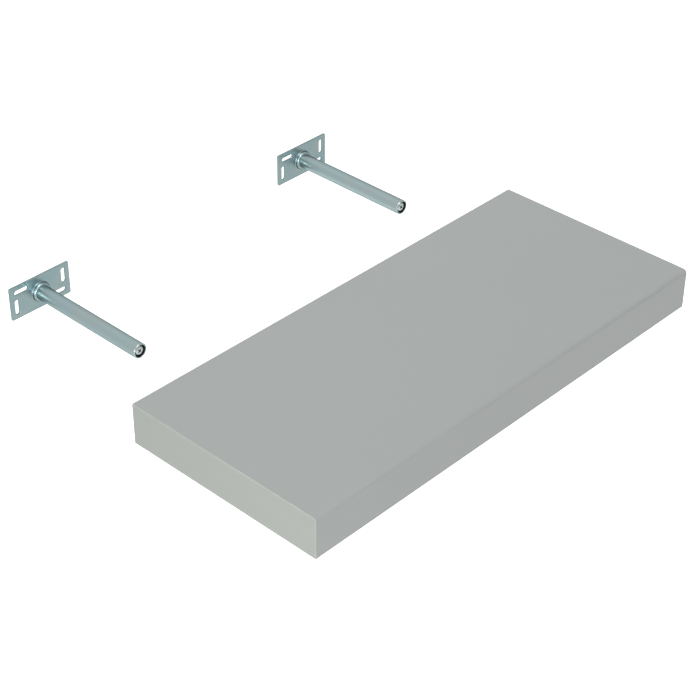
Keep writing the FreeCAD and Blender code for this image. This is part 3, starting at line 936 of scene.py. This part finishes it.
@dataclass
class Support:
    """One support: stamped plate, drawn tube, nylon bush, clamp screw and nut.

    Depths are measured from the wall.
    """

    side: Side  # which support it is
    sheet: float = 2.5 * MM  # thickness of the plate
    corner: float = 1.5 * MM  # radius of the plate's corners
    edge: float = 0.4 * MM  # radius of the stamped front edges
    burr: float = 0.12 * MM  # chamfer of the back edges
    slot_width: float = 5.8 * MM  # width of a slot
    slot_length: float = 19 * MM  # length of a slot
    level_slot: Pair = (26 * MM, -12.5 * MM)  # middle of the lower right slot from the tube's axis
    upright_slot: Pair = (33.5 * MM, 6 * MM)  # middle of the upper right slot from the tube's axis
    boss_step: float = 3 * MM  # how far the boss stands out beyond the tube
    shoulder: float = 2.8 * MM  # radius of the boss's front edge
    flare: float = 1 * MM  # radius where the boss leaves the plate
    hollow_edge: float = 1 * MM  # radius of the hollow's mouth behind the boss
    screw_hole: float = 3.25 * MM  # radius of the hole for the screw
    tube_wall: float = 1.5 * MM  # wall of the tube
    rim: float = 1.2 * MM  # radius of the outer rim at the tube's end
    mouth: float = 0.15 * MM  # radius of the inner rim there
    cup: float = 6.3 * MM  # radius of the bush's cup
    cup_chamfer: float = 0.5 * MM  # chamfer of the cup's mouth
    small: float = 0.2 * MM  # radius of unimportant edges
    head_height: float = 4.6 * MM  # height of the screw's head
    dome: float = 2.4 * MM  # radius of the head's upper edge
    shank: float = 3 * MM  # radius of the screw's shank
    thread: MachineThread = MachineThread()  # the screw's thread
    recess_span: float = 6 * MM  # span of the cross recess
    recess_arm: float = 1.3 * MM  # width of its arms
    recess_depth: float = 2.6 * MM  # depth of the recess
    # size of the recess inside its rim, above its floor and at its floor, as a share of its span
    recess_taper: tuple[float, float, float] = (0.98, 0.82, 0.5)
    recess_turn: float = 45.0  # turn of the recess, degrees
    nut_hole: float = 3.05 * MM  # radius of the nut's hole
    nut_face: float = 0.475  # radius of the nut's flat face as a share of its flats
    nut_chamfer: float = 30.0  # slope of the nut's chamfer, degrees
    chamfer_parts: int = 6  # steps of that chamfer
    nut_side: int = 8  # points along one of the nut's sides
    around: int = 72  # points round a turned piece
    axis: float = field(init=False)  # X of the tube's axis, m

    def __post_init__(self) -> None:
        """Find the tube's axis."""
        low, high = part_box(self.side.of("support_tube"))
        self.axis = (low.x + high.x) / 2

    def build(self) -> None:
        """Build the five pieces."""
        self.build_plate()
        self.build_tube()
        self.build_bush()
        self.build_screw()
        self.build_nut()

    def span(self, piece: str) -> tuple[float, float, float]:
        """Measure one of this support's CAD nodes.

        Args:
            piece: Name of the piece.

        Returns:
            Its half width, and its nearest and furthest depth.
        """
        low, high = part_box(self.side.of(piece))
        return (high.x - low.x) / 2, -high.y, -low.y

    def half_height(self, piece: str) -> float:
        """Half the height of one of this support's CAD nodes."""
        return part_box(self.side.of(piece))[1].z

    def spot(self, point: Vector, depth: float) -> Vector:
        """Place of a point that is given from the axis, at a depth."""
        return Vector((self.axis + point.x, -depth, point.y))

    def ring(self, shell: Shell, depth: float, radii: Sequence[float]) -> Ring:
        """Add a ring round the axis.

        Args:
            shell: Shell that takes it.
            depth: Depth of the ring.
            radii: Radius at each of its points.

        Returns:
            The ring.
        """
        points = []
        for place, radius in enumerate(radii):
            turn = math.tau * place / len(radii)
            points.append(self.spot(Vector((radius * math.cos(turn), radius * math.sin(turn))), depth))
        return shell.ring(points)

    def lathe(self, shell: Shell, profile: Iterable[Vector], around: int) -> list[Ring]:
        """Add the rings of a turned profile, whose points are each a radius and a depth."""
        return [self.ring(shell, point.y, [point.x] * around) for point in profile]

    def turned(self, corners: Sequence[Corner]) -> Shell:
        """Turn a hollow piece.

        Args:
            corners: Corners of its section, each as radius, depth and rounding.

        Returns:
            The shell.
        """
        shell = Shell()
        shell.loft(self.lathe(shell, rounded_path(corners), self.around), closed=True)
        return shell

    def place(self, shell: Shell, title: str, finish: Finish, node: str) -> None:
        """Make a shell one of this support's pieces, in place of a CAD node."""
        fit(shell.piece(self.side.of(title), finish), finish, BRACKET_BODY, self.side.of(node))

    def sheet_edge(self, shell: Shell, path: list[Vector], outwards: int) -> tuple[Ring, Ring]:
        """Cut edge of the sheet along a path: a fine burr behind and a rounded edge in front.

        Args:
            shell: Shell that takes the edge.
            path: Closed path of the edge, from the axis.
            outwards: One for the plate's border, minus one for a slot.

        Returns:
            The rings at the back and at the front.
        """
        levels = [(0.0, self.burr + BESIDE), (0.0, self.burr), (self.burr, 0.0)]
        for behind, inset in rounded_edge(self.edge, round(QUARTER / ARC_STEP)):
            levels.append((self.sheet - behind, inset))
        levels.append((self.sheet, self.edge + BESIDE))
        rings = []
        for depth, inset in levels:
            points = offset_path(path, -outwards * inset)
            rings.append(shell.ring(self.spot(point, depth) for point in points))
        shell.loft(rings)
        return rings[0], rings[-1]

    @staticmethod
    def rectangle(middle: Pair, reach_x: float, reach_z: float, radius: float) -> list[Vector]:
        """Rectangle with rounded corners, anticlockwise.

        Args:
            middle: Its middle.
            reach_x: Half its width.
            reach_z: Half its height.
            radius: Radius of its corners.

        Returns:
            The points.
        """
        x, z = middle
        ways = ((-1, -1), (1, -1), (1, 1), (-1, 1))
        return rounded_path([(x + right * reach_x, z + up * reach_z, radius) for right, up in ways])

    def build_plate(self) -> None:
        """Stamped plate with four slots and a drawn boss, hollow behind."""
        node = "wall_plate"
        half_width, _, seat = self.span(node)
        shell = Shell()
        border = self.rectangle((0.0, 0.0), half_width, self.half_height(node), self.corner)
        edges = [self.sheet_edge(shell, border, outwards=1)]
        long, short = self.slot_length / 2, self.slot_width / 2
        for middle, reach_x, reach_z in ((self.level_slot, long, short), (self.upright_slot, short, long)):
            for half_turn in (1, -1):
                place = (middle[0] * half_turn, middle[1] * half_turn)
                slot = self.rectangle(place, reach_x, reach_z, short)
                edges.append(self.sheet_edge(shell, slot, outwards=-1))
        boss = self.span("support_tube")[0] + self.boss_step
        hollow = boss - self.sheet
        floor = seat - self.sheet
        corners = [
            (boss + self.flare + BESIDE, self.sheet, 0.0),
            (boss, self.sheet, self.flare),
            (boss, seat, self.shoulder),
            (self.screw_hole, seat, self.small),
            (self.screw_hole, floor, self.small),
            (hollow, floor, 2 * self.small),
            (hollow, 0.0, self.hollow_edge),
            (hollow + self.hollow_edge + BESIDE, 0.0, 0.0),
        ]
        rings = self.lathe(shell, rounded_path(corners, closed=False), self.around)
        shell.loft(rings)
        shell.fill(rings[0], *(front for _, front in edges))
        shell.fill(rings[-1], *(back for back, _ in edges))
        self.place(shell, "stamped_plate", PLATE_ZINC, node)

    def build_tube(self) -> None:
        """Drawn tube with a softened rim at its open end."""
        node = "support_tube"
        radius, near, far = self.span(node)
        bore = radius - self.tube_wall
        corners = [
            (radius, near, self.small),
            (radius, far, self.rim),
            (bore, far, self.mouth),
            (bore, near, self.small),
        ]
        self.place(self.turned(corners), "drawn_tube", TUBE_ZINC, node)

    def build_bush(self) -> None:
        """Nylon bush in the tube's end, with a cup for the screw's head."""
        node = "tip_bush"
        radius, near, far = self.span(node)
        floor = self.span("clamp_screw")[2] - self.head_height
        corners = [
            (radius, near, self.small),
            (radius, far, self.small),
            (self.cup + self.cup_chamfer, far, self.small),
            (self.cup, far - self.cup_chamfer, self.small),
            (self.cup, floor, self.small),
            (self.screw_hole, floor, self.small),
            (self.screw_hole, near, self.small),
        ]
        self.place(self.turned(corners), "nylon_bush", NYLON, node)

    def recess_path(self) -> list[Vector]:
        """Outline of the cross recess.

        Returns:
            The points, anticlockwise.
        """
        reach, half = self.recess_span / 2, self.recess_arm / 2
        arm = [(reach, -half), (reach, half), (half, half)]
        turn = math.radians(self.recess_turn)
        corners = []
        for quarter in range(4):
            spin = Matrix.Rotation(turn + QUARTER * quarter, 2)
            corners += [(*(spin @ Vector(point)), self.small) for point in arm]
        return rounded_path(corners)

    def build_screw(self) -> None:
        """Clamp screw with a domed, cross-recessed head and a rolled thread."""
        node = "clamp_screw"
        radius, tail, top = self.span(node)
        bearing = top - self.head_height
        start = tail + self.thread.length
        corners = [
            (0.0, top, 0.0),
            (radius, top, self.dome),
            (radius, bearing, self.small),
            (self.shank, bearing, self.small),
            (self.shank, start, 0.0),
        ]
        shell = Shell()
        profile = rounded_path(corners, closed=False)[1:]  # the recess takes the head's middle
        rings = self.lathe(shell, profile, self.thread.around)
        shell.loft(rings)
        outline = self.recess_path()
        floor = top - self.recess_depth
        depths = (top, top - self.small / 2, floor + 2 * self.small, floor)
        walls = []
        for scale, depth in zip((1.0, *self.recess_taper), depths):
            walls.append(shell.ring(self.spot(point * scale, depth) for point in outline))
        shell.loft(walls)
        shell.cap(walls[-1])
        # the recess's walls and floor get painted shade
        shell.mark(walls[1:])
        shell.fill(rings[0], walls[0])
        piece = shell.piece(self.side.of("cross_screw"), SCREW_ZINC)
        self.thread.roll(piece, Vector((self.axis, -start, 0.0)), self.shank)
        fit(piece, SCREW_ZINC, BRACKET_BODY, self.side.of(node))

    def build_nut(self) -> None:
        """Hexagon nut, chamfered on both faces and countersunk."""
        node = "clamp_nut"
        _, near, far = self.span(node)
        flat = self.half_height(node)
        face = 2 * flat * self.nut_face
        slope = math.tan(math.radians(self.nut_chamfer))
        around = self.nut_side * HEX_SIDES
        sides = []
        for place in range(around):
            off_middle = place % self.nut_side / self.nut_side - 0.5
            sides.append(flat / math.cos(off_middle * math.tau / HEX_SIDES))
        tallest = (max(sides) - face) * slope
        steps = [tallest * part / self.chamfer_parts for part in range(self.chamfer_parts + 1)]
        levels = [(near + step, step) for step in steps] + [(far - step, step) for step in steps[::-1]]
        shell = Shell()
        rings = []
        for depth, rise in levels:
            rings.append(self.ring(shell, depth, [min(side, face + rise / slope) for side in sides]))
        sink = 2 * self.small
        mouth = self.nut_hole + sink
        hole = [(mouth, far), (self.nut_hole, far - sink), (self.nut_hole, near + sink), (mouth, near)]
        shell.loft(rings + self.lathe(shell, map(Vector, hole), around), closed=True)
        self.place(shell, "hexagon_nut", SCREW_ZINC, node)


# Studio


@dataclass(frozen=True)
class Softbox:
    """A square softbox that faces the object."""

    name: str  # name of the light
    bearing: tuple[float, float, float]  # direction from the object to the light
    level: float  # light that it puts on a surface that faces it, where one shows a colour as written
    side: float = 0.8  # side of the square, m
    reach: float = 2.2  # distance from the object, m
    lights: Lights = Lights.ALL  # gloss alone for a glint, matt surfaces alone for a fill

    def hang(self, middle: Vector) -> None:
        """Hang the softbox.

        Args:
            middle: Point that it faces.
        """
        light = bpy.data.lights.new(self.name, "AREA")
        light.shape = "SQUARE"
        light.size = self.side
        light.energy = self.level * (math.pi * self.reach) ** 2
        lamp = bpy.data.objects.new(self.name, light)
        lamp.visible_diffuse = self.lights is not Lights.GLOSS
        lamp.visible_glossy = self.lights is not Lights.MATT
        bearing = Vector(self.bearing).normalized()
        lamp.location = middle + bearing * self.reach
        lamp.rotation_euler = bearing.to_track_quat("Z", "Y").to_euler()
        bpy.context.scene.collection.objects.link(lamp)


SOFTBOXES = (
    Softbox("left_softbox", (-0.953, -0.286, 0.095), 0.347, side=0.5, reach=1.3),
    Softbox("top_softbox", (0.0, 0.1, 0.995), 0.36),
    Softbox("front_softbox", (0.0, -1.0, 0.0), 0.161),
    Softbox("rear_fill", (0.0, 1.0, 0.05), 0.35, lights=Lights.MATT),
    Softbox("right_fill", (1.0, 0.0, 0.05), 0.22, lights=Lights.MATT),
    Softbox("left_glint", (-0.909, -0.398, 0.127), 0.6, side=0.3, lights=Lights.GLOSS),
    Softbox("top_glint", (-0.215, -0.405, 0.888), 0.6, side=0.3, lights=Lights.GLOSS),
)


@dataclass
class Studio:
    """Pale floor, soft light and the camera."""

    floor_drop: float = 1.0  # floor below the board's middle, m. A wall shelf hangs about a metre up
    floor_size: float = 40.0  # side of the floor, m
    floor_colour: str = "#F2F2F2"  # colour of its paper, sRGB hex
    floor_roughness: float = 0.9  # roughness of its paper
    ambient: float = 0.45  # level of the even light from all round
    lift: float = 0.68  # light that the floor adds for the camera and for reflections
    azimuth: float = -46.75  # camera's turn from straight in front, degrees
    elevation: float = 35.07  # camera's height over the horizon, degrees
    roll: float = 0.37  # camera's roll, degrees
    lens: float = 95.74  # focal length, mm
    distance: float = 2.0  # camera to the point that it aims at, m
    aim: tuple[float, float, float] = (-0.0513, -0.3301, 0.0007)  # point that the camera aims at, m

    def build(self) -> None:
        """Make the floor, the light and the camera."""
        self.build_floor()
        self.build_world()
        low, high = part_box("decor_wrap")
        for softbox in SOFTBOXES:
            softbox.hang((low + high) / 2)
        self.build_camera()

    @staticmethod
    def seen(tree: NodeTree) -> NodeSocket:
        """Nodes that give one for camera, glossy and transmission rays, and nought for the rest.

        Args:
            tree: Tree that takes the nodes.

        Returns:
            The output.
        """
        rays = add_node(tree, "ShaderNodeLightPath")
        either = rays["Is Camera Ray"]
        for other in ("Is Glossy Ray", "Is Transmission Ray"):
            either = add_node(tree, "ShaderNodeMath", {0: either, 1: rays[other]}, operation="MAXIMUM")[0]
        return either

    def build_floor(self) -> None:
        """Pale floor that takes the object's shadow."""
        bpy.ops.mesh.primitive_plane_add(size=self.floor_size, location=(0, 0, -self.floor_drop))
        floor = bpy.context.object
        floor.name = "floor"
        floor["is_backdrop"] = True
        material = bpy.data.materials.new("white studio paper")
        material.use_nodes = True
        tree = material.node_tree
        shader = tree.nodes["Principled BSDF"]
        shader.inputs["Base Color"].default_value = linear(self.floor_colour)
        shader.inputs["Roughness"].default_value = self.floor_roughness
        shader.inputs["Specular IOR Level"].default_value = 0.0
        shader.inputs["Emission Color"].default_value = linear(WHITE)
        glow = add_node(tree, "ShaderNodeMath", {0: self.seen(tree), 1: self.lift}, operation="MULTIPLY")[0]
        tree.links.new(glow, shader.inputs["Emission Strength"])
        floor.data.materials.append(material)

    def build_world(self) -> None:
        """Even light all round, white where the camera or a reflection sees it."""
        world = bpy.data.worlds.new("studio")
        world.use_nodes = True
        bpy.context.scene.world = world
        tree = world.node_tree
        limits = {"Value": self.seen(tree), "To Min": self.ambient, "To Max": 1.0}
        strength = add_node(tree, "ShaderNodeMapRange", limits)[0]
        background = tree.nodes["Background"]
        background.inputs["Color"].default_value = linear(WHITE)
        tree.links.new(strength, background.inputs["Strength"])

    def build_camera(self) -> None:
        """Camera at the photograph's angle."""
        camera = bpy.data.objects.new("camera", bpy.data.cameras.new("camera"))
        camera.data.lens = self.lens
        bpy.context.scene.collection.objects.link(camera)
        turn, height = math.radians(self.azimuth), math.radians(self.elevation)
        level = math.cos(height)
        back = Vector((math.sin(turn) * level, -math.cos(turn) * level, math.sin(height)))
        camera.location = Vector(self.aim) + back * self.distance
        facing = back.to_track_quat("Z", "Y").to_matrix()
        camera.rotation_euler = (facing @ Matrix.Rotation(math.radians(self.roll), 3, "Z")).to_euler()
        bpy.context.scene.camera = camera


def write_sizes() -> None:
    """Gather the CAD model's box and the visual model's box."""
    boxes = {"cad": CAD_BOX, "visual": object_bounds()}
    {name: [list(corner) for corner in box] for name, box in boxes.items()}


def main() -> None:
    """Build the studio, the board and the supports, in order."""
    bpy.context.scene.view_settings.view_transform = "Standard"
    Studio().build()
    Board().build()
    Filling().build()
    for side in Side:
        Support(side).build()
    write_sizes()


if __name__ == "__main__":
    main()
